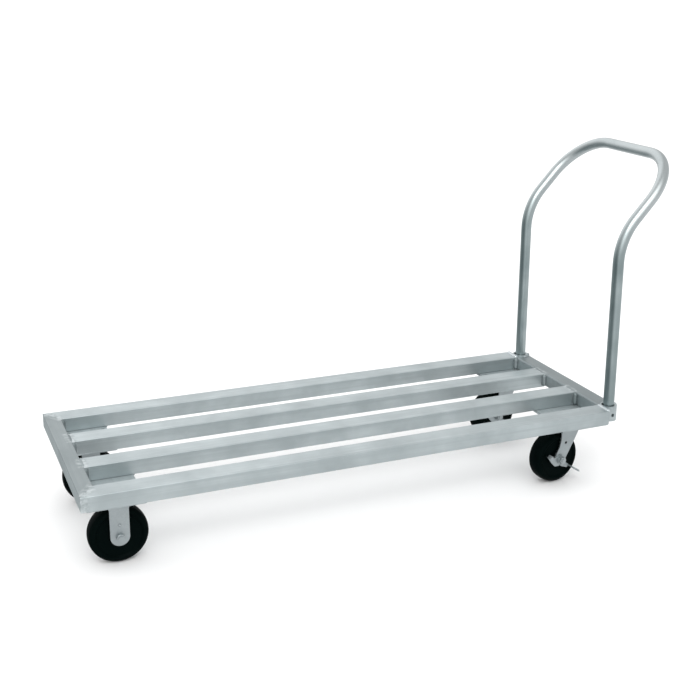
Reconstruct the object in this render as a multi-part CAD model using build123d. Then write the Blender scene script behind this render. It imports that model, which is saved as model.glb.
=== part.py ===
from build123d import *
import math
import os

# Flatbed platform truck: an all-welded aluminium deck of rectangular tubes on two rigid and two braked swivel casters,
# with a bent tube push handle that drops into a round socket at each rear corner.
# Millimetres, +Z up, wheels on Z = 0, -X is the front, +X is the handle end, +Y is the pusher's right.

# ---- driving dimensions ----
deck_length = 1524.0
deck_width = 584.0
deck_height = 230.0
tube_height = 40.0
tube_wall = 3.0
tube_corner = 2.5
slat_width = 60.0
front_tube_width = 40.0
rear_tube_width = 50.0

handle_od = 31.8
handle_wall = 2.5
handle_spacing = 500.0
handle_bend_height = 721.0
handle_grip_height = 930.0
handle_rake = 42.5
handle_bend_radius = 180.0
handle_corner_radius = 147.0

socket_od = 48.0
socket_bore = 37.6
socket_bore_shift = 2.2
socket_rise = 4.0
socket_guide_top = 204.0
socket_guide_gap = 0.4
socket_floor = 4.0
socket_drain = 10.0
socket_pin_hole = 10.0
socket_pin_height = 208.0

plate_thickness = 8.0
plate_inset = 15.0
plate_reach = 220.0
front_plate_span = (14.0, 160.0)
rear_plate_span = (1340.0, 1486.0)

wheel_diameter = 150.0
wheel_width = 50.0
wheel_hub_width = 54.0
wheel_hub_radius = 24.0
sleeve_radius = 9.0
axle_radius = 6.0
running_gap = 0.05
clear_gap = 0.3

top_plate_length = 114.0
top_plate_width = 102.0
top_plate_thickness = 5.0
top_plate_corner = 8.0
bolt_pitch_x = 92.0
bolt_pitch_y = 67.0
bolt_radius = 5.0
bolt_head_flats = 16.0
bolt_head_height = 6.4
washer_radius = 9.0
washer_thickness = 2.0

fork_gap = 56.0
fork_thickness = 4.0
caster_inset = 108.0
rigid_caster_x = 102.0
swivel_caster_x = 1402.0
swivel_trail = 45.0
swivel_yaw = 8.0
crown_top = 167.0
crown_thickness = 5.0
crown_radius = 38.0
race_pitch_radius = 30.0
race_half_width = 7.0
ball_radius = 3.0
ball_count = 22
ball_height = 170.4
kingpin_radius = 6.0
kingpin_head_radius = 12.0
kingpin_head_height = 4.0
nut_flats = 19.0
nut_height = 10.0
head_height = 7.5

lever_thickness = 3.0
lever_hub_radius = 15.0
pedal_width = 30.0
tab_width = 16.0

bead = 8.0
plate_bead = 5.0
rear_tube_corner = 5.0

# ---- derived positions ----
handle_reach = (handle_grip_height - handle_bend_height) * math.tan(math.radians(handle_rake))
post_from_front = deck_length - rear_tube_width / 2
overall_length = post_from_front + handle_reach + handle_od / 2
front = -overall_length / 2
half_width = deck_width / 2
deck_top = deck_height
deck_bottom = deck_height - tube_height
deck_middle = (deck_top + deck_bottom) / 2
rear_face = front + deck_length - rear_tube_width
front_face = front + front_tube_width
slat_pitch = (deck_width - slat_width) / 3
post_x = front + post_from_front
post_y = handle_spacing / 2
post_foot = deck_bottom + socket_floor + clear_gap
plate_bottom = deck_bottom - plate_thickness
top_plate_bottom = plate_bottom - top_plate_thickness
caster_y = half_width - caster_inset
wheel_radius = wheel_diameter / 2
leg_inside = fork_gap / 2
leg_outside = leg_inside + fork_thickness

sides = {"left": -1, "right": 1}


def save(shape, name):
    """Writes one named piece; several solids become one group."""
    solids = shape if isinstance(shape, list) else [shape]
    flat = [solid for item in solids for solid in item.solids()]
    piece = flat[0] if len(flat) == 1 else Compound(children=flat)
    piece.label = name
    export_step(piece, f"parts/{name}.step")


def block(x0, x1, y0, y1, z0, z1):
    """Box between two corners."""
    centre = ((x0 + x1) / 2, (y0 + y1) / 2, (z0 + z1) / 2)
    return Pos(*centre) * Box(x1 - x0, y1 - y0, z1 - z0)


def disc(radius, z0, z1, x=0.0, y=0.0):
    """Upright cylinder."""
    return Pos(x, y, (z0 + z1) / 2) * Cylinder(radius, z1 - z0)


def cross_rod(radius, y0, y1, x=0.0, z=0.0):
    """Cylinder lying along Y."""
    return Pos(x, (y0 + y1) / 2, z) * Rot(90, 0, 0) * Cylinder(radius, y1 - y0)


def chamfered_hexagon(flats, height):
    """Hexagonal prism on Z = 0, the corners of both ends cut back to a cone as on a real nut."""
    corner = flats / math.sqrt(3)
    envelope = chamfer(Cylinder(corner, height).edges().filter_by(GeomType.CIRCLE), 0.9, 1.6)
    prism = extrude(RegularPolygon(flats / 2, 6, major_radius=False), height)
    return prism & (Pos(0, 0, height / 2) * envelope)


def hexagon(flats, z0, z1, x=0.0, y=0.0):
    """Upright nut or bolt head."""
    return Pos(x, y, z0) * chamfered_hexagon(flats, z1 - z0)


def cross_hexagon(flats, y0, y1, x=0.0, z=0.0):
    """Nut or bolt head lying along Y."""
    return Pos(x, y1, z) * Rot(90, 0, 0) * chamfered_hexagon(flats, y1 - y0)


def plan_prism(points):
    """Prism over a plan outline, taller than the deck tubes."""
    outline = Polygon(*points, align=None)
    return Pos(0, 0, deck_bottom - tube_height) * extrude(outline, 3 * tube_height, dir=(0, 0, 1))


def tube_profile(width, corner=tube_corner):
    """Rounded rectangular tube section, with its hollow."""
    outer = RectangleRounded(width, tube_height, corner)
    inner = Rectangle(width - 2 * tube_wall, tube_height - 2 * tube_wall)
    return outer - inner


def tube_along_x(width, x0, x1, y):
    section = Plane(origin=(x0, y, deck_middle), x_dir=(0, 1, 0), z_dir=(1, 0, 0)) * tube_profile(width)
    return extrude(section, x1 - x0)


def tube_along_y(width, y0, y1, x, corner=tube_corner):
    section = Plane(origin=(x, y0, deck_middle), x_dir=(-1, 0, 0), z_dir=(0, 1, 0)) * tube_profile(width, corner)
    return extrude(section, y1 - y0)


# ---- deck ----
def side_rail(side):
    """Outer rail: mitred into the front tube, capped where it meets the socket at the rear."""
    outside = side * half_width
    inside = side * (half_width - slat_width)
    rail = tube_along_x(slat_width, front, rear_face, (outside + inside) / 2)
    rail &= plan_prism([(front, outside), (rear_face, outside), (rear_face, inside), (front_face, inside)])
    low, high = sorted((outside, inside))
    cap = block(
        rear_face - tube_wall,
        rear_face,
        low + tube_wall,
        high - tube_wall,
        deck_bottom + tube_wall,
        deck_top - tube_wall,
    )
    return rail + cap


def slat(side):
    return tube_along_x(slat_width, front_face, rear_face, side * slat_pitch / 2)


def front_tube():
    tube = tube_along_y(front_tube_width, -half_width, half_width, front + front_tube_width / 2)
    inner = half_width - slat_width
    outline = [(front, -half_width), (front_face, -inner), (front_face, inner), (front, half_width)]
    return tube & plan_prism(outline)


def rear_tube():
    """Rear cross tube, its ends coped round the two handle sockets."""
    tube = tube_along_y(rear_tube_width, -post_y, post_y, post_x, rear_tube_corner)
    for side in sides.values():
        tube -= disc(socket_od / 2, deck_bottom - 1, deck_top + 1, post_x, side * post_y)
    return tube


def socket(side):
    """Round pocket for a handle post: wide offset mouth, closer guide bore, drained floor and a side pin hole."""
    y = side * post_y
    body = disc(socket_od / 2, deck_bottom, deck_top + socket_rise, post_x, y)
    mouth_x = post_x - socket_bore_shift
    body -= disc(socket_bore / 2, socket_guide_top, deck_top + socket_rise + 1, mouth_x, y)
    body -= disc(handle_od / 2 + socket_guide_gap, deck_bottom + socket_floor, socket_guide_top + 1, post_x, y)
    body -= disc(socket_drain / 2, deck_bottom - 1, deck_bottom + socket_floor + 1, post_x, y)
    ends = sorted((y, y + side * socket_od))
    return body - cross_rod(socket_pin_hole / 2, ends[0], ends[1], post_x, socket_pin_height)


def caster_plate(side, span):
    """Plate welded under a side rail and its neighbour, tapped for the caster bolts."""
    low, high = sorted((side * (half_width - plate_inset), side * (half_width - plate_reach)))
    plate = block(front + span[0], front + span[1], low, high, plate_bottom, deck_bottom)
    plate = fillet(plate.edges().filter_by(Axis.Z), 6)
    x = front + (rigid_caster_x if span == front_plate_span else swivel_caster_x)
    for hole in bolt_places(x, side * caster_y):
        plate -= disc(bolt_radius + running_gap, plate_bottom - 1, deck_bottom + 1, *hole)
    return plate


def deck_envelope():
    """Outer shapes of the deck pieces without their hollows, used to trim the weld metal."""
    edge = half_width
    shapes = [block(front, front_face, -edge, edge, deck_bottom, deck_top)]
    shapes.append(block(rear_face, rear_face + rear_tube_width, -post_y, post_y, deck_bottom, deck_top))
    for y in (-edge, -slat_pitch / 2 - slat_width / 2, slat_pitch / 2 - slat_width / 2, edge - slat_width):
        shapes.append(block(front_face, rear_face, y, y + slat_width, deck_bottom, deck_top))
    for side in sides.values():
        shapes.append(disc(socket_od / 2, deck_bottom, deck_top + socket_rise, post_x, side * post_y))
    return shapes


def corner_bead(x, y, toward_x, toward_y):
    """Upright fillet of weld metal in an inside corner of the deck."""
    leg_x = x + toward_x * bead
    leg_y = y + toward_y * bead
    bulge = (x + toward_x * bead * 0.62, y + toward_y * bead * 0.62)
    outline = Polyline((leg_x, y), (x, y), (x, leg_y)) + ThreePointArc((x, leg_y), bulge, (leg_x, y))
    height = tube_height - 2 * tube_corner
    return Pos(0, 0, deck_bottom + tube_corner) * extrude(make_face(outline), height)


def plate_bead_run(start, end, outward):
    """Fillet of weld metal below the deck tubes, along one edge of a caster plate."""
    start, end, outward = Vector(*start), Vector(*end), Vector(*outward)
    corner = start + Vector(0, 0, deck_bottom)
    outline = Polyline(
        corner,
        corner + outward * plate_bead,
        corner - Vector(0, 0, plate_bead),
        corner,
    )
    return extrude(make_face(outline), (end - start).length, dir=(end - start).normalized())


def plate_beads(side, span):
    """Weld runs round a caster plate, wherever a deck tube lies over its edge."""
    x0, x1 = front + span[0], front + span[1]
    outer = side * (half_width - plate_inset)
    runs = [plate_bead_run((x0 + 12, outer), (x1 - 12, outer), (0, side))]
    rail = (half_width - plate_inset - 10, half_width - slat_width + 3)
    inner_slat = (slat_pitch / 2 + slat_width / 2 - 3, half_width - plate_reach + 10)
    for high, low in (rail, inner_slat):
        for x, outward in ((x0, (-1, 0)), (x1, (1, 0))):
            runs.append(plate_bead_run((x, side * high), (x, side * low), outward))
    return runs


def weld_beads():
    """Every weld run that stands proud of the deck tubes."""
    envelope = deck_envelope()
    beads = []
    inner_edge = half_width - slat_width
    slat_edges = [slat_pitch / 2 - slat_width / 2, slat_pitch / 2 + slat_width / 2]
    for side in sides.values():
        for x, toward_x in ((front_face, 1), (rear_face, -1)):
            beads.append(corner_bead(x, side * inner_edge, toward_x, -side))
            beads.append(corner_bead(x, side * slat_edges[0], toward_x, -side))
            beads.append(corner_bead(x, side * slat_edges[1], toward_x, side))
    proud = []
    for side in sides.values():
        low, high = sorted((side * (half_width - 3), side * (inner_edge + 3)))
        proud.append(cross_rod(6.5, low, high, rear_face + 1, deck_top - 3.0))
        proud.append(disc(7.0, deck_bottom + 2, deck_top - 2, rear_face + 3, side * (half_width - 27)))
        ring = Pos(post_x, side * post_y, deck_top) * Torus(socket_od / 2 + 1.5, 3.5)
        reach = sorted((side * (post_y - socket_od), side * (post_y - 1)))
        half = block(rear_face + 1, rear_face + rear_tube_width + 9, reach[0], reach[1], deck_top, deck_top + 9)
        proud.append(ring & half)
        low, high = sorted((side * (slat_edges[0] + 4), side * (slat_edges[1] - 4)))
        for x, away in ((front_face, -1), (rear_face, 1)):
            over_tube = block(*sorted((x, x + away * 12)), low, high, deck_top, deck_top + 5)
            proud.append(cross_rod(bead, low, high, x, deck_top - bead + 0.8) & over_tube)
        for span in (front_plate_span, rear_plate_span):
            beads += plate_beads(side, span)
    for shape in proud:
        for solid in envelope:
            shape -= solid
        beads.append(shape)
    return beads


# ---- handle ----
def handle():
    """One bent tube: two posts that rake back above the deck and join in a round-cornered grip."""
    rake = math.radians(handle_rake)
    run = (handle_grip_height - handle_bend_height) / math.cos(rake)
    lift = Vector(math.sin(rake), 0, math.cos(rake))
    setback = handle_bend_radius * math.tan(rake / 2)
    bend = Vector(post_x, -post_y, handle_bend_height)
    path = []

    def mirrored(point):
        return Vector(point.X, -point.Y, point.Z)

    foot = Vector(post_x, -post_y, post_foot)
    bend_start = bend - Vector(0, 0, setback)
    bend_end = bend + lift * setback
    half_turn = rake / 2
    centre = bend_start + Vector(handle_bend_radius, 0, 0)
    bend_middle = centre + Vector(-math.cos(half_turn), 0, math.sin(half_turn)) * handle_bend_radius
    corner = bend + lift * run
    corner_start = corner - lift * handle_corner_radius
    corner_end = corner + Vector(0, handle_corner_radius, 0)
    eye = corner_start + Vector(0, handle_corner_radius, 0)
    corner_middle = eye + (lift - Vector(0, 1, 0)) * (handle_corner_radius / math.sqrt(2))
    path.append(Line(foot, bend_start))
    path.append(ThreePointArc(bend_start, bend_middle, bend_end))
    path.append(Line(bend_end, corner_start))
    path.append(ThreePointArc(corner_start, corner_middle, corner_end))
    path.append(Line(corner_end, mirrored(corner_end)))
    path.append(ThreePointArc(mirrored(corner_end), mirrored(corner_middle), mirrored(corner_start)))
    path.append(Line(mirrored(corner_start), mirrored(bend_end)))
    path.append(ThreePointArc(mirrored(bend_end), mirrored(bend_middle), mirrored(bend_start)))
    path.append(Line(mirrored(bend_start), mirrored(foot)))
    wire = Wire(path)
    start = Plane(origin=foot, z_dir=(0, 0, 1))
    section = Circle(handle_od / 2) - Circle(handle_od / 2 - handle_wall)
    return sweep(start * section, path=wire)


# ---- caster pieces, built about the caster's own upright axis ----
def bolt_places(x, y):
    return [
        (x + i * bolt_pitch_x / 2, y + j * bolt_pitch_y / 2)
        for i in (-1, 1)
        for j in (-1, 1)
    ]


def top_plate():
    outline = RectangleRounded(top_plate_length, top_plate_width, top_plate_corner)
    plate = Pos(0, 0, top_plate_bottom) * extrude(outline, top_plate_thickness)
    for hole in bolt_places(0, 0):
        plate -= disc(bolt_radius + 0.5, top_plate_bottom - 1, plate_bottom + 1, *hole)
    return plate


def leg_holes(shape, x):
    """Axle hole through both legs."""
    return shape - cross_rod(axle_radius + running_gap, -leg_outside - 1, leg_outside + 1, x, wheel_radius)


def pressed(outline, thickness):
    """Side-view outline thickened toward -Y from Y = 0."""
    return extrude(Plane.XZ * outline, thickness, dir=(0, -1, 0))


def leg_pair(outline):
    """Two mirrored legs from one side-view outline."""
    leg = Pos(0, -leg_inside, 0) * pressed(outline, fork_thickness)
    return leg + mirror(leg, Plane.XZ)


def rigid_fork():
    """Straight-legged channel fork with round leg ends."""
    web_top = top_plate_bottom
    shoulder = 32.0
    straight = 24.0
    outline = Polygon(
        (-shoulder, web_top),
        (-shoulder, web_top - fork_thickness),
        (-straight, web_top - 30),
        (-straight, wheel_radius),
        (straight, wheel_radius),
        (straight, web_top - 30),
        (shoulder, web_top - fork_thickness),
        (shoulder, web_top),
        align=None,
    )
    outline += Pos(0, wheel_radius) * Circle(straight)
    fork = leg_pair(outline)
    fork += block(-shoulder, shoulder, -leg_inside, leg_inside, web_top - fork_thickness, web_top)
    fold = [e for e in fork.edges().filter_by(Axis.X).group_by(Axis.Z)[-1] if abs(e.center().Y) > leg_inside]
    fork = fillet(fold, fork_thickness + 1)
    for side in sides.values():
        fork -= Pos(0, side * (leg_outside + 2.2), wheel_radius + 32) * Sphere(4.5)
    return leg_holes(fork, 0)


def swivel_fork():
    """Crown disc with raised ball track and two legs raking back to the axle."""
    axle_x = -swivel_trail
    boss = 20.0
    outline = Polygon(
        (axle_x - boss, wheel_radius),
        (axle_x - 14, wheel_radius + 15),
        (axle_x - 2, wheel_radius + 36),
        (axle_x + 3, wheel_radius + 56),
        (axle_x + 4, wheel_radius + 76),
        (axle_x + 9, wheel_radius + 86),
        (axle_x + 19, crown_top),
        (axle_x + 75, crown_top),
        (axle_x + 63, wheel_radius + 72),
        (axle_x + 49, wheel_radius + 46),
        (axle_x + 36, wheel_radius + 24),
        (axle_x + 19.5, wheel_radius - 4.5),
        align=None,
    )
    bends = [v for v in outline.vertices() if wheel_radius + 5 < v.Y < crown_top - 1]
    outline = fillet(bends, 6) + Pos(axle_x, wheel_radius) * Circle(boss)
    fork = leg_pair(outline)
    crown_bottom = crown_top - crown_thickness
    fork += disc(crown_radius, crown_bottom, crown_top)
    fork += block(axle_x + 19, axle_x + 72, -leg_outside, leg_outside, crown_bottom, crown_top)
    track_top = crown_top + 2
    fork += disc(race_pitch_radius + race_half_width, crown_top - 1, track_top)
    fork -= disc(race_pitch_radius - race_half_width, crown_top, track_top + 1)
    fork -= Pos(0, 0, ball_height) * Torus(race_pitch_radius, ball_radius)
    fork -= disc(kingpin_radius + running_gap, crown_bottom - 1, crown_top + 1)
    fork -= cross_rod(4, -leg_outside - 1, leg_outside + 1, axle_x + 20, wheel_radius + 47)
    return leg_holes(fork, axle_x)


def swivel_top_plate():
    plate = top_plate()
    plate -= disc(kingpin_radius + running_gap, top_plate_bottom - 1, plate_bottom + 1)
    return plate - disc(kingpin_head_radius + running_gap, plate_bottom - kingpin_head_height, plate_bottom + 1)


def upper_race():
    """Ring fixed under the top plate, grooved over the balls."""
    low = ball_height + 1.6
    ring = disc(race_pitch_radius + race_half_width + 1, low, top_plate_bottom)
    ring -= disc(race_pitch_radius - race_half_width, low - 1, top_plate_bottom + 1)
    return ring - Pos(0, 0, ball_height) * Torus(race_pitch_radius, ball_radius + clear_gap)


def balls():
    turn = 360.0 / ball_count
    return [
        Rot(0, 0, n * turn) * Pos(race_pitch_radius, 0, ball_height) * Sphere(ball_radius)
        for n in range(ball_count)
    ]


def kingpin():
    crown_bottom = crown_top - crown_thickness
    pin = disc(kingpin_radius, crown_bottom - nut_height - 2, plate_bottom - kingpin_head_height)
    return pin + disc(kingpin_head_radius, plate_bottom - kingpin_head_height, plate_bottom)


def kingpin_nut():
    high = crown_top - crown_thickness - clear_gap
    nut = hexagon(nut_flats, high - nut_height, high)
    return nut - disc(kingpin_radius, high - nut_height - 1, high + 1)


def wheel():
    """Solid wheel with a crowned tread, round shoulders, a dished face and a proud hub."""
    half = wheel_width / 2
    shoulder = 13.0
    bore = sleeve_radius + running_gap
    hub_half = wheel_hub_width / 2
    with BuildSketch(Plane.XZ) as section:
        with BuildLine():
            Polyline(
                (bore, -hub_half),
                (wheel_hub_radius, -hub_half),
                (wheel_hub_radius + 2, -half + 4),
                (wheel_radius - 20, -half + 4),
                (wheel_radius - 15, -half),
                (wheel_radius - shoulder, -half),
            )
            ThreePointArc(
                (wheel_radius - shoulder, -half),
                (wheel_radius - 0.3 * shoulder - 0.9, -half + 0.32 * shoulder),
                (wheel_radius - 1.0, -half + shoulder),
            )
            ThreePointArc(
                (wheel_radius - 1.0, -half + shoulder),
                (wheel_radius, 0),
                (wheel_radius - 1.0, half - shoulder),
            )
            ThreePointArc(
                (wheel_radius - 1.0, half - shoulder),
                (wheel_radius - 0.3 * shoulder - 0.9, half - 0.32 * shoulder),
                (wheel_radius - shoulder, half),
            )
            Polyline(
                (wheel_radius - shoulder, half),
                (wheel_radius - 15, half),
                (wheel_radius - 20, half - 4),
                (wheel_hub_radius + 2, half - 4),
                (wheel_hub_radius, hub_half),
                (bore, hub_half),
                (bore, -hub_half),
            )
        make_face()
    return Rot(90, 0, 0) * revolve(section.sketch, Axis.Z)


def axle_sleeve():
    half = leg_inside - running_gap
    return cross_rod(sleeve_radius, -half, half) - cross_rod(axle_radius + running_gap, -half - 1, half + 1)


def axle_bolt(nut_face):
    """Bolt with its head on the +Y side; nut_face is where the nut bears on the -Y side."""
    tip = -nut_face - nut_height - 2
    shank = cross_rod(axle_radius, tip, leg_outside)
    return shank + cross_hexagon(nut_flats, leg_outside, leg_outside + head_height)


def axle_nut(nut_face):
    nut = cross_hexagon(nut_flats, -nut_face - nut_height, -nut_face)
    return nut - cross_rod(axle_radius, -nut_face - nut_height - 1, -nut_face + 1)


def brake_cam():
    """Stepped washer on the axle between the brake lever and the nut."""
    inner = leg_outside + lever_thickness + 2 * clear_gap
    outer = inner + 3.0
    return cross_rod(13, -outer, -inner) - cross_rod(axle_radius + running_gap, -outer - 1, -inner + 1)


def brake_lever():
    """Pressed rocker lever: a raised release tab to one side and a foot pedal to the other."""
    arm = Polygon(
        (-2, -19),
        (-20, -18),
        (-33, -5),
        (-48, 16),
        (-39, 22),
        (-25, 8),
        (-8, 12),
        align=None,
    )
    foot = Polygon((-4, -6), (10, -6), (30, -20), (26, -30), (2, -21), align=None)
    outline = fillet(arm.vertices(), 4) + fillet(foot.vertices(), 3) + Circle(lever_hub_radius)
    plate = pressed(outline, lever_thickness)
    pedal = Polygon((24.5, -22), (28, -19.5), (48, -32), (52, -38), (49.5, -39.5), (45, -33.5), align=None)
    plate += pressed(pedal, pedal_width)
    tab = Polygon((-48, 16), (-39, 22), (-37.2, 19.3), (-46.2, 13.3), align=None)
    plate += pressed(fillet(tab.vertices(), 1.2), tab_width)
    plate -= cross_rod(axle_radius + running_gap, -lever_thickness - 1, 1)
    return Pos(0, -leg_outside - clear_gap, 0) * plate


def mount_bolts():
    bolts = []
    head_top = top_plate_bottom - washer_thickness
    for x, y in all_bolt_places():
        bolt = disc(bolt_radius, head_top, deck_bottom - 0.5, x, y)
        bolts.append(bolt + hexagon(bolt_head_flats, head_top - bolt_head_height, head_top, x, y))
    return bolts


def mount_washers():
    low = top_plate_bottom - washer_thickness
    washers = []
    for x, y in all_bolt_places():
        ring = disc(washer_radius, low, top_plate_bottom, x, y)
        washers.append(ring - disc(bolt_radius, low - 1, top_plate_bottom + 1, x, y))
    return washers


def all_bolt_places():
    places = []
    for x in (rigid_caster_x, swivel_caster_x):
        for side in sides.values():
            places += bolt_places(front + x, side * caster_y)
    return places


# ---- placing and writing ----
def save_rigid_caster(name, side):
    place = Pos(front + rigid_caster_x, side * caster_y, 0)
    axle = place * Pos(0, 0, wheel_radius)
    save(place * top_plate(), f"rigid_top_plate_{name}")
    save(place * rigid_fork(), f"rigid_fork_{name}")
    save(axle * wheel(), f"rigid_wheel_{name}")
    save(axle * axle_sleeve(), f"rigid_axle_sleeve_{name}")
    save(axle * axle_bolt(leg_outside), f"rigid_axle_bolt_{name}")
    save(axle * axle_nut(leg_outside), f"rigid_axle_nut_{name}")


def save_swivel_caster(name, side):
    place = Pos(front + swivel_caster_x, side * caster_y, 0)
    turned = place * Rot(0, 0, swivel_yaw)
    axle = turned * Pos(-swivel_trail, 0, wheel_radius)
    nut_face = leg_outside + lever_thickness + 2 * clear_gap + 3.0
    save(place * swivel_top_plate(), f"swivel_top_plate_{name}")
    save(place * upper_race(), f"swivel_upper_race_{name}")
    save(place * kingpin(), f"kingpin_{name}")
    save(place * kingpin_nut(), f"kingpin_nut_{name}")
    save([turned * ball for ball in balls()], f"swivel_balls_{name}")
    save(turned * swivel_fork(), f"swivel_fork_{name}")
    save(axle * wheel(), f"swivel_wheel_{name}")
    save(axle * axle_sleeve(), f"swivel_axle_sleeve_{name}")
    save(axle * axle_bolt(nut_face), f"swivel_axle_bolt_{name}")
    save(axle * axle_nut(nut_face), f"swivel_axle_nut_{name}")
    save(axle * brake_cam(), f"brake_cam_{name}")
    save(axle * brake_lever(), f"brake_lever_{name}")


os.makedirs("parts", exist_ok=True)

save(front_tube(), "front_cross_tube")
save(rear_tube(), "rear_cross_tube")
save(handle(), "push_handle")
save(weld_beads(), "weld_beads")
save(mount_bolts(), "caster_mount_bolts")
save(mount_washers(), "caster_mount_washers")

for name, side in sides.items():
    save(side_rail(side), f"side_rail_{name}")
    save(slat(side), f"deck_slat_{name}")
    save(socket(side), f"handle_socket_{name}")
    save(caster_plate(side, front_plate_span), f"caster_plate_front_{name}")
    save(caster_plate(side, rear_plate_span), f"caster_plate_rear_{name}")
    save_rigid_caster(name, side)
    save_swivel_caster(name, side)
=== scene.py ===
import math

import bmesh
import bpy
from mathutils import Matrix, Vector


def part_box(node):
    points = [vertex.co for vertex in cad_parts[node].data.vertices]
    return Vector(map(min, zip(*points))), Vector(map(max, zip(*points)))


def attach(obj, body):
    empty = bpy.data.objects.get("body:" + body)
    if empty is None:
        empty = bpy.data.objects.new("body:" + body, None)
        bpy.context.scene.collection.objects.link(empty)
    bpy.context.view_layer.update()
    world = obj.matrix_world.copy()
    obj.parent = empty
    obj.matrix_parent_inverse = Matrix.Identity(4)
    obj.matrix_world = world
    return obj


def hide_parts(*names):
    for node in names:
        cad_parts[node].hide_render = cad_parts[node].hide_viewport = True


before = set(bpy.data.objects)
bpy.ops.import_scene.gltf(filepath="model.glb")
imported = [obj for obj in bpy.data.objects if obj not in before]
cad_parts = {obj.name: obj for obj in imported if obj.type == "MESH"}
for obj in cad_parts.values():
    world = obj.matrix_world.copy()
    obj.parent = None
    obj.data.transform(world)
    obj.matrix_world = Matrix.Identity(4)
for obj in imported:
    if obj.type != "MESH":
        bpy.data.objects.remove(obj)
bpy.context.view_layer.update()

# ---- camera ----
camera = bpy.data.objects.new("camera", bpy.data.cameras.new("camera"))
bpy.context.scene.collection.objects.link(camera)
camera.location = (-1.22655, -2.84189, 1.41456)
camera.rotation_euler = [math.radians(a) for a in (74.3379, -0.9668, -24.6546)]
camera.data.lens = 59.6966
camera.data.sensor_width = 36.0
camera.data.shift_x = -0.0714286
camera.data.shift_y = -0.0714286
bpy.context.scene.camera = camera

# ---- places on the deck ----
front_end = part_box("front_cross_tube")[0][0]
front_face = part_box("front_cross_tube")[1][0]
rear_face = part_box("rear_cross_tube")[0][0]
deck_bottom, deck_top = (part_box("deck_slat_left")[n][2] for n in (0, 1))
half_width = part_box("side_rail_right")[1][1]
rail_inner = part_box("side_rail_right")[0][1]
slat_inner, slat_outer = (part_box("deck_slat_right")[n][1] for n in (0, 1))
socket_low, socket_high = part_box("handle_socket_right")
socket_x, socket_y = ((socket_low[n] + socket_high[n]) / 2 for n in (0, 1))
socket_radius = (socket_high[0] - socket_low[0]) / 2


# ---- node helpers ----
def new_material(name):
    material = bpy.data.materials.new(name)
    material.use_nodes = True
    material.node_tree.nodes.clear()
    return material


class Graph:
    """Short calls for wiring a node tree."""

    def __init__(self, tree):
        self.tree = tree

    def add(self, kind, inputs=None, **settings):
        node = self.tree.nodes.new(kind)
        for key, value in settings.items():
            setattr(node, key, value)
        for key, value in (inputs or {}).items():
            self.feed(node.inputs[key], value)
        return node

    def feed(self, socket, value):
        if isinstance(value, bpy.types.NodeSocket):
            self.tree.links.new(value, socket)
        elif isinstance(value, bpy.types.Node):
            self.tree.links.new(value.outputs[0], socket)
        else:
            socket.default_value = value

    def place(self):
        return self.add("ShaderNodeTexCoord").outputs["Object"]

    def split(self, vector):
        return self.add("ShaderNodeSeparateXYZ", {"Vector": vector})

    def math(self, operation, a, b=None):
        inputs = {0: a} if b is None else {0: a, 1: b}
        return self.add("ShaderNodeMath", inputs, operation=operation).outputs[0]

    def scaled(self, vector, scale):
        return self.add("ShaderNodeMapping", {"Vector": vector, "Scale": scale}).outputs[0]

    def noise(self, vector, scale, detail=3.0, roughness=0.55):
        inputs = {"Vector": vector, "Scale": scale, "Detail": detail, "Roughness": roughness}
        return self.add("ShaderNodeTexNoise", inputs).outputs["Fac"]

    def spread(self, value, low, high, to_low=0.0, to_high=1.0):
        inputs = {"Value": value, "From Min": low, "From Max": high, "To Min": to_low, "To Max": to_high}
        return self.add("ShaderNodeMapRange", inputs).outputs[0]

    def tint(self, factor, first, second):
        node = self.add("ShaderNodeMix", data_type="RGBA")
        self.feed(node.inputs[0], factor)
        self.feed(node.inputs[6], first)
        self.feed(node.inputs[7], second)
        return node.outputs[2]

    def band(self, value, centre, half, soft):
        """1 within half of centre, fading to 0 over soft."""
        away = self.math("ABSOLUTE", self.math("SUBTRACT", value, centre))
        return self.spread(away, half, half + soft, 1.0, 0.0)

    def product(self, *values):
        total = values[0]
        for value in values[1:]:
            total = self.math("MULTIPLY", total, value)
        return total

    def largest(self, *values):
        total = values[0]
        for value in values[1:]:
            total = self.math("MAXIMUM", total, value)
        return total


def colour(red, green, blue):
    return (red, green, blue, 1.0)


# ---- metals ----
# Joint marks: half widths and fading distances of the bands, in metres
SEAM_HALF, SEAM_SOFT = 0.008, 0.008
REAR_SEAM_HALF = 0.007
MITRE_HALF, MITRE_SOFT = 0.009, 0.014
MARK_WOBBLE = 0.004

# Painted highlight: the grip is coloured lighter above the bend, between these two heights in metres
GRIP_HIGHLIGHT_LOW, GRIP_HIGHLIGHT_HIGH = 0.66, 0.82

GRAIN_DEPTH = 0.0004
# Painted shade for upward faces
TOP_PAINTED_SHADE = colour(0.12, 0.145, 0.15)
# Painted highlight for the grip
GRIP_PAINTED_HIGHLIGHT = colour(0.50, 0.535, 0.54)
DRESSED_DARK = colour(0.30, 0.34, 0.345)
DRESSED_LIGHT = colour(0.60, 0.64, 0.65)


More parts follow.
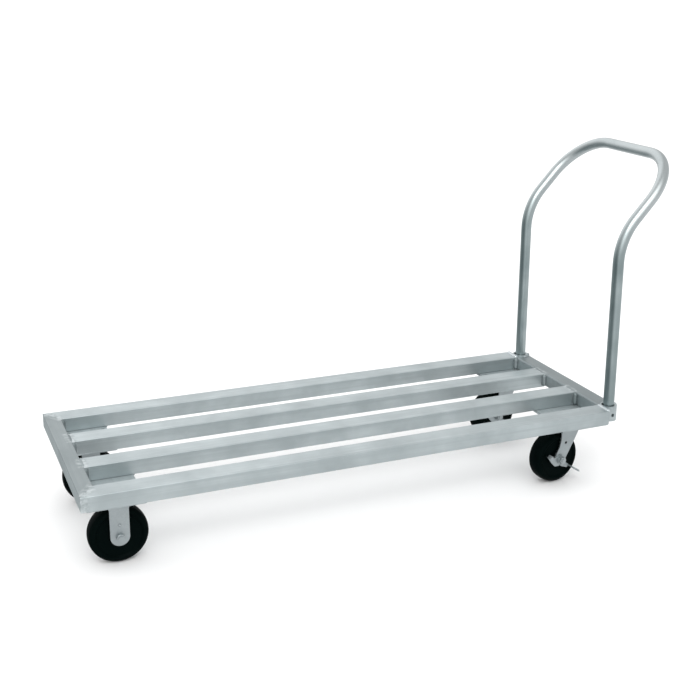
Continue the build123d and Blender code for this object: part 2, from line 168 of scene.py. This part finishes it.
def joint_marks(g, place):
    """Where the deck's flush welds were dressed: a band along every tube joint and mitre."""
    split = g.split(place)
    wobble = g.spread(g.noise(place, 60.0, 2.0), 0.0, 1.0, -MARK_WOBBLE, MARK_WOBBLE)
    x = g.math("ADD", split.outputs["X"], wobble)
    y = g.math("ABSOLUTE", split.outputs["Y"])
    slat_middle, slat_half = (slat_inner + slat_outer) / 2, (slat_outer - slat_inner) / 2
    on_slat = g.band(y, slat_middle, slat_half + 0.001, 0.003)
    front_seam = g.band(x, front_face, SEAM_HALF, SEAM_SOFT)
    rear_seam = g.band(x, rear_face, REAR_SEAM_HALF, SEAM_SOFT)
    seams = g.largest(front_seam, rear_seam)
    ramp = (front_face - front_end) / (half_width - rail_inner)
    along = g.math("MULTIPLY", g.math("SUBTRACT", half_width, y), ramp)
    mitre = g.math("SUBTRACT", g.math("SUBTRACT", x, front_end), along)
    inside = g.spread(x, front_face + 0.001, front_face + 0.003, 1.0, 0.0)
    at_mitre = g.product(g.band(mitre, 0.002, MITRE_HALF, MITRE_SOFT), inside)
    return g.largest(g.product(seams, on_slat), at_mitre)


def metal(name, light, dark, grain, roughness=(0.34, 0.46), bump=0.25,
          marks=False, spangle=0.0, sheen=0.8, top=0.0, grip_highlight=False):
    """Metal with a fine grain; grain is the coordinate scale along X, Y and Z.

    marks adds the dressed joints, spangle the zinc's crystals, top paints shade on upward faces,
    and handled paints a lighter highlight on the grip above the bend. sheen is how metallic it is.
    """
    material = new_material(name)
    g = Graph(material.node_tree)
    place = g.place()
    streak = g.noise(g.scaled(place, grain), 1.0, 4.0, 0.6)
    band = g.noise(g.scaled(place, [max(1.5, s * 0.11) for s in grain]), 1.0, 3.0, 0.6)
    cloud = g.noise(place, 9.0, 3.0)
    fine = g.noise(place, 900.0, 2.0)
    shade = g.tint(g.spread(cloud, 0.3, 0.7), dark, light)
    shade = g.tint(g.spread(streak, 0.25, 0.75, 0.0, 0.3), shade, dark)
    shade = g.tint(g.spread(band, 0.42, 0.68, 0.0, 0.55), shade, dark)
    if spangle:
        cells = g.add("ShaderNodeTexVoronoi", {"Vector": place, "Scale": 260.0}, feature="F1")
        tone = g.add("ShaderNodeSeparateColor", {"Color": cells.outputs["Color"]}).outputs[0]
        shade = g.tint(g.math("MULTIPLY", tone, spangle), shade, dark)
    rub = g.noise(g.scaled(place, (35, 35, 35)), 1.0, 5.0, 0.7)
    scuff = g.spread(rub, 0.6, 0.74, 0.0, 0.35)
    shade = g.tint(scuff, shade, light)
    # Painted shade: faces turned upward are tinted darker
    if top:
        facing = g.split(g.add("ShaderNodeNewGeometry").outputs["Normal"])
        shade = g.tint(g.spread(facing.outputs["Z"], 0.05, 0.5, 0.0, top), shade, TOP_PAINTED_SHADE)
    rough = g.spread(streak, 0.2, 0.8, roughness[0], roughness[1])
    rough = g.math("ADD", rough, g.math("MULTIPLY", scuff, 0.2))
    height = g.math("ADD", g.math("MULTIPLY", streak, 0.7), g.math("MULTIPLY", fine, 0.3))
    # Painted highlight: the handle is tinted lighter above the bend
    if grip_highlight:
        above_bend = g.spread(g.split(place).outputs["Z"], GRIP_HIGHLIGHT_LOW, GRIP_HIGHLIGHT_HIGH)
        grip_highlight_mask = g.math("MULTIPLY", above_bend, g.spread(cloud, 0.2, 0.6, 0.6, 0.9))
        shade = g.tint(grip_highlight_mask, shade, GRIP_PAINTED_HIGHLIGHT)
    if marks:
        dressed = joint_marks(g, place)
        mottled = g.noise(place, 75.0, 3.0, 0.6)
        worn = g.tint(g.spread(mottled, 0.4, 0.6), DRESSED_DARK, DRESSED_LIGHT)
        shade = g.tint(g.math("MULTIPLY", dressed, 0.6), shade, worn)
        rough = g.math("ADD", rough, g.math("MULTIPLY", dressed, 0.12))
        smoothed = g.math("SUBTRACT", 1.0, g.math("MULTIPLY", dressed, 0.8))
        height = g.math("MULTIPLY", height, smoothed)
    relief = g.add("ShaderNodeBump", {"Height": height, "Strength": bump, "Distance": GRAIN_DEPTH})
    shader = g.add(
        "ShaderNodeBsdfPrincipled",
        {"Base Color": shade, "Roughness": rough, "Metallic": sheen, "Normal": relief},
    )
    g.add("ShaderNodeOutputMaterial", {"Surface": shader})
    return material


# ---- rubber ----
RUBBER_DARK = colour(0.0005, 0.0021, 0.0019)
RUBBER_LIGHT = colour(0.0014, 0.0038, 0.0036)
RUBBER_DUST = colour(0.005, 0.008, 0.0077)
RUBBER_DEPTH = 0.0003


def rubber(name):
    """Nearly black rubber with a little dust, most of it near the floor."""
    material = new_material(name)
    g = Graph(material.node_tree)
    place = g.place()
    cloud = g.noise(place, 14.0, 4.0)
    dust = g.noise(place, 55.0, 6.0, 0.7)
    fine = g.noise(place, 700.0, 3.0)
    near_floor = g.spread(g.split(place).outputs["Z"], 0.012, 0.03, 0.5, 0.12)
    shade = g.tint(cloud, RUBBER_DARK, RUBBER_LIGHT)
    shade = g.tint(g.product(g.spread(dust, 0.5, 0.75), near_floor), shade, RUBBER_DUST)
    relief = g.add("ShaderNodeBump", {"Height": fine, "Strength": 0.2, "Distance": RUBBER_DEPTH})
    shader = g.add(
        "ShaderNodeBsdfPrincipled",
        {
            "Base Color": shade,
            "Roughness": g.spread(cloud, 0.2, 0.8, 0.36, 0.5),
            "Specular IOR Level": 0.012,
            "Normal": relief,
        },
    )
    g.add("ShaderNodeOutputMaterial", {"Surface": shader})
    return material


# ---- finishes: the light and dark shade of each metal ----
MILL = colour(0.52, 0.575, 0.585), colour(0.36, 0.405, 0.415)
TUBE = colour(0.42, 0.48, 0.485), colour(0.26, 0.315, 0.32)
ZINC = colour(0.42, 0.46, 0.47), colour(0.31, 0.345, 0.355)
WELD = colour(0.50, 0.55, 0.56), colour(0.27, 0.31, 0.32)
# Painted shade: a darker copy of the weld colour for the upright beads in the inner corners
WELD_PAINTED_SHADE = colour(0.33, 0.37, 0.38), colour(0.19, 0.225, 0.23)
# Painted highlight: a much lighter copy of the weld colour for the bead across each rail's end; its
# lower roughness is a real smoother finish
WELD_PAINTED_HIGHLIGHT = colour(0.80, 0.84, 0.86), colour(0.55, 0.60, 0.62)
GROUND_STEEL = colour(0.56, 0.57, 0.59), colour(0.45, 0.46, 0.48)

long_grain = metal("mill_aluminium_lengthwise", *MILL, (4, 900, 900), marks=True)
# The cross tubes carry painted shade on their upward faces
cross_grain = metal("mill_aluminium_crosswise", *MILL, (900, 4, 900), marks=True, top=0.6)
plate_grain = metal("mill_aluminium_plate", *MILL, (900, 8, 900), (0.45, 0.6), sheen=0.6)
socket_grain = metal("mill_aluminium_turned", *MILL, (40, 40, 900))
# The handle's tube carries a painted highlight on the grip
tube_grain = metal("mill_aluminium_tube", *TUBE, (600, 600, 4), (0.25, 0.36), sheen=1.0, grip_highlight=True)
zinc = metal("zinc_plate", *ZINC, (120, 120, 120), (0.32, 0.44), spangle=0.5)
weld = metal("weld_metal", *WELD, (160, 160, 160), (0.4, 0.56), 0.5)
# Darker copy of the weld colour: painted shade
weld_painted_shade = metal("weld_metal_painted_shade", *WELD_PAINTED_SHADE, (140, 140, 140), (0.5, 0.62))
# Much lighter copy of the weld colour: painted highlight
weld_painted_highlight = metal("weld_metal_painted_highlight", *WELD_PAINTED_HIGHLIGHT, (140, 140, 140), (0.2, 0.3))
bright = metal("ground_steel", *GROUND_STEEL, (300, 300, 300), (0.12, 0.2), 0.05)
tyre = rubber("black_rubber")

# By the start of a node's name; every other node is zinc plated
finishes = {
    "side_rail": long_grain,
    "deck_slat": long_grain,
    "front_cross_tube": cross_grain,
    "rear_cross_tube": cross_grain,
    "handle_socket": socket_grain,
    "push_handle": tube_grain,
    "caster_plate": plate_grain,
    "weld_beads": weld,
    "rigid_wheel": tyre,
    "swivel_wheel": tyre,
    "swivel_balls": bright,
}
for name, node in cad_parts.items():
    chosen = next((m for prefix, m in finishes.items() if name.startswith(prefix)), zinc)
    if not node.material_slots:
        node.data.materials.append(chosen)
    for slot in node.material_slots:
        slot.material = chosen


def mesh_object(name, build):
    """An object in the scene whose mesh is filled in by build."""
    data = bpy.data.meshes.new(name)
    mesh = bmesh.new()
    build(mesh)
    bmesh.ops.recalc_face_normals(mesh, faces=mesh.faces)
    mesh.to_mesh(data)
    mesh.free()
    made = bpy.data.objects.new(name, data)
    bpy.context.scene.collection.objects.link(made)
    return made


# ---- weld runs, in metres ----
RIPPLE = 0.0024             # length of one ripple
STEPS_PER_RIPPLE = 4
RIPPLE_FALL = 0.13          # part of the radius lost towards the next ripple
RING = 12                   # points round a bead
ARC_STEPS = 24
# The second slot holds the weld colour with painted shade, the third the weld colour with a painted
# highlight
PLAIN, PAINTED_SHADE_SLOT, PAINTED_HIGHLIGHT_SLOT = 0, 1, 2    # material slots of weld_runs

FILLET = 0.0078             # radius of the beads at the slats' ends and inner corners
CORNER_INSET = 0.003        # how far a corner bead's line stands off both faces
SLAT_EDGE = 0.003           # kept clear at a slat's edges
TOP_DEPTH = 0.0068          # line of the upper seam bead under the deck top
BOTTOM_DEPTH = 0.005        # line of the lower seam bead over the deck bottom

RAIL_BEAD = 0.0068          # across the rail's end, on top of the rear corner
RAIL_DEPTH = 0.0025
SIDE_BEAD = 0.007           # upright, beside the socket
SIDE_FROM_EDGE = 0.0265
SIDE_END = 0.002

SOCKET_BEAD = 0.0046        # round the socket's top
SOCKET_GAP = 0.0012
SOCKET_REACH = 0.002        # how far past the socket's middle the ring goes

PLATE_BEAD = 0.004
PLATE_GAP = 0.0012          # the bead's line off the plate's edge and below the deck
PLATE_END = 0.012
PLATE_INSET = 0.010
TUBE_EDGE = 0.002           # past the edge of a rail or slat that a plate bead follows


def weld_run(mesh, path, radius, tone=PLAIN):
    """One closed bead of overlapping ripples along a path of points, in material slot tone."""
    points = [Vector(p) for p in path]
    lengths = [0.0]
    for a, b in zip(points, points[1:]):
        lengths.append(lengths[-1] + (b - a).length)
    total = lengths[-1]
    count = max(2, round(total / RIPPLE)) * STEPS_PER_RIPPLE
    rings = []
    for n in range(count + 1):
        at = total * n / count
        leg = max(i for i in range(len(points) - 1) if lengths[i] <= at + 1e-9)
        part = (at - lengths[leg]) / (lengths[leg + 1] - lengths[leg])
        centre = points[leg].lerp(points[leg + 1], min(part, 1.0))
        along = (points[leg + 1] - points[leg]).normalized()
        side = along.orthogonal().normalized()
        over = along.cross(side)
        phase = (n % STEPS_PER_RIPPLE) / STEPS_PER_RIPPLE
        ends = min(at, total - at) / radius
        rounding = math.sqrt(max(0.05, 1 - max(0.0, 1 - ends) ** 2))
        size = radius * (1 - RIPPLE_FALL * phase) * rounding
        rings.append([
            mesh.verts.new(centre + (side * math.cos(a) + over * math.sin(a)) * size)
            for a in (2 * math.pi * k / RING for k in range(RING))
        ])
    faces = [mesh.faces.new(rings[0]), mesh.faces.new(rings[-1])]
    for low, high in zip(rings, rings[1:]):
        for k in range(RING):
            after = (k + 1) % RING
            faces.append(mesh.faces.new((low[k], low[after], high[after], high[k])))
    for face in faces:
        face.material_index = tone
        face.smooth = True


def arc(x, y, z, radius, start, end):
    """Points on a level arc from start to end, in degrees."""
    steps = (math.radians(start + (end - start) * n / ARC_STEPS) for n in range(ARC_STEPS + 1))
    return [(x + radius * math.cos(a), y + radius * math.sin(a), z) for a in steps]


def slat_runs(mesh, side):
    """Both ends of one slat, with the upright beads in the corners beside it."""
    corners = [(rail_inner, -side), (slat_inner, -side), (slat_outer, side)]
    low, high = side * (slat_inner + SLAT_EDGE), side * (slat_outer - SLAT_EDGE)
    for seam, toward_x in ((front_face, 1), (rear_face, -1)):
        for edge, toward_y in corners:
            x, y = seam + toward_x * CORNER_INSET, side * edge + toward_y * CORNER_INSET
            # The upright corner beads take the darker weld colour: painted shade
            weld_run(mesh, [(x, y, deck_bottom + 0.001), (x, y, deck_top - 0.0015)], FILLET, PAINTED_SHADE_SLOT)
        for z in (deck_top - TOP_DEPTH, deck_bottom + BOTTOM_DEPTH):
            weld_run(mesh, [(seam, low, z), (seam, high, z)], FILLET)


def rear_corner_runs(mesh, side):
    """Across the rail's end, down beside the socket and round the socket's top."""
    x, z = rear_face + 0.001, deck_top - RAIL_DEPTH
    low, high = side * (rail_inner + 0.002), side * (half_width - 0.003)
    # The bead across the rail's end takes the lighter weld colour: painted highlight
    weld_run(mesh, [(x, low, z), (x, high, z)], RAIL_BEAD, PAINTED_HIGHLIGHT_SLOT)
    x, y = x + 0.002, side * (half_width - SIDE_FROM_EDGE)
    weld_run(mesh, [(x, y, deck_bottom + SIDE_END), (x, y, deck_top - SIDE_END)], SIDE_BEAD)
    start, end = (-100, 75) if side > 0 else (-75, 100)
    ring = arc(socket_x, side * socket_y, deck_top, socket_radius + SOCKET_GAP, start, end)
    weld_run(mesh, [p for p in ring if abs(p[1]) <= socket_y + SOCKET_REACH], SOCKET_BEAD)


def plate_runs(mesh, side, plate):
    """Under the deck: along a caster plate's outer edge and across its two ends."""
    (x0, y0, _), (x1, y1, _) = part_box(plate)
    outer, inner = (y1, y0) if side > 0 else (y0, y1)
    y, z = outer + side * PLATE_GAP, deck_bottom - PLATE_GAP
    weld_run(mesh, [(x0 + PLATE_END, y, z), (x1 - PLATE_END, y, z)], PLATE_BEAD)
    spans = [
        (outer - side * PLATE_INSET, side * (rail_inner + TUBE_EDGE)),
        (side * (slat_outer - TUBE_EDGE), inner + side * PLATE_INSET),
    ]
    for x in (x0 - PLATE_GAP, x1 + PLATE_GAP):
        for a, b in spans:
            weld_run(mesh, [(x, a, z), (x, b, z)], PLATE_BEAD)


def all_weld_runs(mesh):
    for side, hand in ((-1, "left"), (1, "right")):
        slat_runs(mesh, side)
        rear_corner_runs(mesh, side)
        for place in ("front", "rear"):
            plate_runs(mesh, side, f"caster_plate_{place}_{hand}")


weld_runs = mesh_object("weld_runs", all_weld_runs)
for finish in (weld, weld_painted_shade, weld_painted_highlight):
    weld_runs.data.materials.append(finish)
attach(weld_runs, "frame")
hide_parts("weld_beads")

# ---- floor ----
FLOOR_REACH = 30


def floor_mesh(mesh):
    corners = [(-1, -1), (1, -1), (1, 1), (-1, 1)]
    mesh.faces.new([mesh.verts.new((x * FLOOR_REACH, y * FLOOR_REACH, 0)) for x, y in corners])


floor = mesh_object("floor", floor_mesh)
ground = new_material("pale_floor")
g = Graph(ground.node_tree)
shade = g.tint(g.noise(g.place(), 2.0), colour(0.90, 0.90, 0.90), colour(0.92, 0.92, 0.92))
g.add("ShaderNodeOutputMaterial", {"Surface": g.add("ShaderNodeBsdfDiffuse", {"Color": shade})})
floor.data.materials.append(ground)
floor.visible_glossy = False

# ---- studio ----
# What the metal reflects: a plain tone below and above the horizon, and zones laid over it,
# each an azimuth, an elevation, the angles where it is full and gone (degrees), and its tone
BELOW = colour(0.95, 0.96, 0.97)
ABOVE = colour(0.77, 0.775, 0.78)
ZONES = (
    (100, 34, 12, 48, colour(1.35, 1.35, 1.36)),
    (180, -30, 22, 52, colour(0.24, 0.28, 0.29)),
    (132, -36, 15, 46, colour(0.36, 0.40, 0.41)),
    (-112, 38, 16, 46, colour(2.0, 2.0, 2.0)),
)
PLAIN_STRENGTH = 1.35       # the even white light that every other ray sees

world = bpy.data.worlds.new("studio")
bpy.context.scene.world = world
world.use_nodes = True
world.node_tree.nodes.clear()
g = Graph(world.node_tree)
look = g.add("ShaderNodeTexCoord").outputs["Generated"]


def toward(azimuth, elevation, inner, outer):
    """1 for directions within inner degrees of the given one, 0 beyond outer."""
    a, e = math.radians(azimuth), math.radians(elevation)
    axis = (math.cos(e) * math.cos(a), math.cos(e) * math.sin(a), math.sin(e))
    nearness = g.add("ShaderNodeVectorMath", {0: look, 1: axis}, operation="DOT_PRODUCT")
    gone, full = (math.cos(math.radians(d)) for d in (outer, inner))
    inputs = {"Value": nearness.outputs["Value"], "From Min": gone, "From Max": full}
    return g.add("ShaderNodeMapRange", inputs, interpolation_type="SMOOTHSTEP").outputs[0]


grey = g.tint(g.spread(g.split(look).outputs["Z"], -0.05, 0.15), BELOW, ABOVE)
for azimuth, elevation, inner, outer, tone in ZONES:
    grey = g.tint(toward(azimuth, elevation, inner, outer), grey, tone)
reflected = g.add("ShaderNodeBackground", {"Color": grey, "Strength": 1.0})
plain = g.add("ShaderNodeBackground", {"Color": colour(1, 1, 1), "Strength": PLAIN_STRENGTH})
is_glossy = g.add("ShaderNodeLightPath").outputs["Is Glossy Ray"]
sky = g.add("ShaderNodeMixShader", {0: is_glossy, 1: plain, 2: reflected})
g.add("ShaderNodeOutputWorld", {"Surface": sky})

# One large softbox, high on the camera's side
softbox = bpy.data.lights.new("key", "AREA")
softbox.shape = "RECTANGLE"
softbox.size, softbox.size_y = 1.6, 1.2
softbox.energy = 40
key = bpy.data.objects.new("key", softbox)
key.location = (-1.2, -3.0, 3.4)
aim = Vector((0, 0, 0.2)) - key.location
key.rotation_euler = aim.to_track_quat("-Z", "Y").to_euler()
bpy.context.scene.collection.objects.link(key)
bpy.context.scene.view_settings.view_transform = "Standard"
